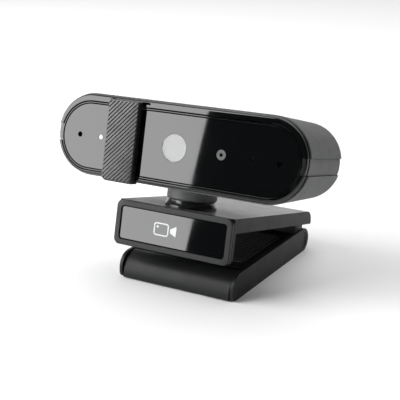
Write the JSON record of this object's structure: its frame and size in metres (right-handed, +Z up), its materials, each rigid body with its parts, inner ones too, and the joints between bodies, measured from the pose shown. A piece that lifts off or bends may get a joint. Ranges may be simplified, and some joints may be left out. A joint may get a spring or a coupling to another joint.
{
  "type": "webcam on folding clip stand",
  "caption": "Wide-bar webcam with a sliding privacy cover, on a swivel neck over a folding clip stand that stands on a desk or hooks over a screen.",
  "frame": {"origin": "on the surface it stands on, under the middle of the lower leg (the foot pad's underside)", "axes": "+Z up, +X along the wide camera head, the lens looks towards -Y"},
  "size_m": [0.1036, 0.0742, 0.0693],
  "materials": {
    "textured_black": "fine spark-eroded texture, matte",
    "satin_black": "satin moulded plastic",
    "satin_grey": "satin dark grey plastic",
    "gloss_black": "polished",
    "clear_glass": "coated glass",
    "black_rubber": "soft matte rubber",
    "steel": "plated steel",
    "brass": "turned brass",
    "board_green": "solder mask",
    "component_black": "moulded package",
    "lamp_white": "diffusing resin",
    "foam_tape": "adhesive foam"
  },
  "bodies": {
    "lower_leg": {"lower_leg": "satin_black", "rear_hinge_pin": "steel", "front_hinge_pin": "steel", "hinge_caps": "satin_black", "hinge_washers": "component_black", "leg_pad": "black_rubber"},
    "folding_foot": {"folding_foot": "satin_black", "foot_pad": "black_rubber"},
    "clip_bracket": {"clip_bracket": "satin_black", "front_frame": "satin_grey", "name_plate": "gloss_black", "tripod_insert": "brass", "plate_pads": "black_rubber", "lip_pad": "black_rubber", "swivel_base": "gloss_black", "swivel_washer": "steel"},
    "camera_head": {"top_cover": "textured_black", "bottom_cover": "textured_black", "middle_frame": "satin_black", "upper_trim": "gloss_black", "lower_trim": "gloss_black", "front_panel": "gloss_black", "panel_tape": "foam_tape", "lens_window": "clear_glass", "light_sensor_ring": "gloss_black", "proximity_window": "clear_glass", "status_light_pipe": "clear_glass", "main_board": "board_green", "status_led": "lamp_white", "light_sensor": "component_black", "image_sensor": "component_black", "left_microphone": "steel", "left_microphone_boot": "black_rubber", "right_microphone": "steel", "right_microphone_boot": "black_rubber", "cord_connector": "component_black", "lens_holder": "satin_black", "lens_barrel": "component_black", "front_lens": "clear_glass", "rear_lens": "clear_glass", "frame_screws": "steel", "board_screws": "steel", "cord_grommet": "black_rubber", "swivel_screw": "steel", "swivel_nut": "brass"},
    "privacy_slider": {"privacy_slider": "satin_grey"}
  },
  "joints": [
    {"name": "bracket_hinge", "type": "hinge", "parent": "lower_leg", "child": "clip_bracket", "pos_m": [0, 0.028, 0.0048], "axis": [-1, 0, 0], "range_deg": [-4, 110]},
    {"name": "foot_hinge", "type": "hinge", "parent": "lower_leg", "child": "folding_foot", "pos_m": [0, -0.0282, 0.0048], "axis": [-1, 0, 0], "range_deg": [0, 170]},
    {"name": "head_swivel", "type": "hinge", "parent": "clip_bracket", "child": "camera_head", "pos_m": [0, -0.02074, 0.02873], "axis": [0, 0.2351, 0.972], "range_deg": [-180, 180]},
    {"name": "slider_slide", "type": "slide", "parent": "camera_head", "child": "privacy_slider", "axis": [1, 0, 0], "range_m": [0, 0.0213]}
  ]
}
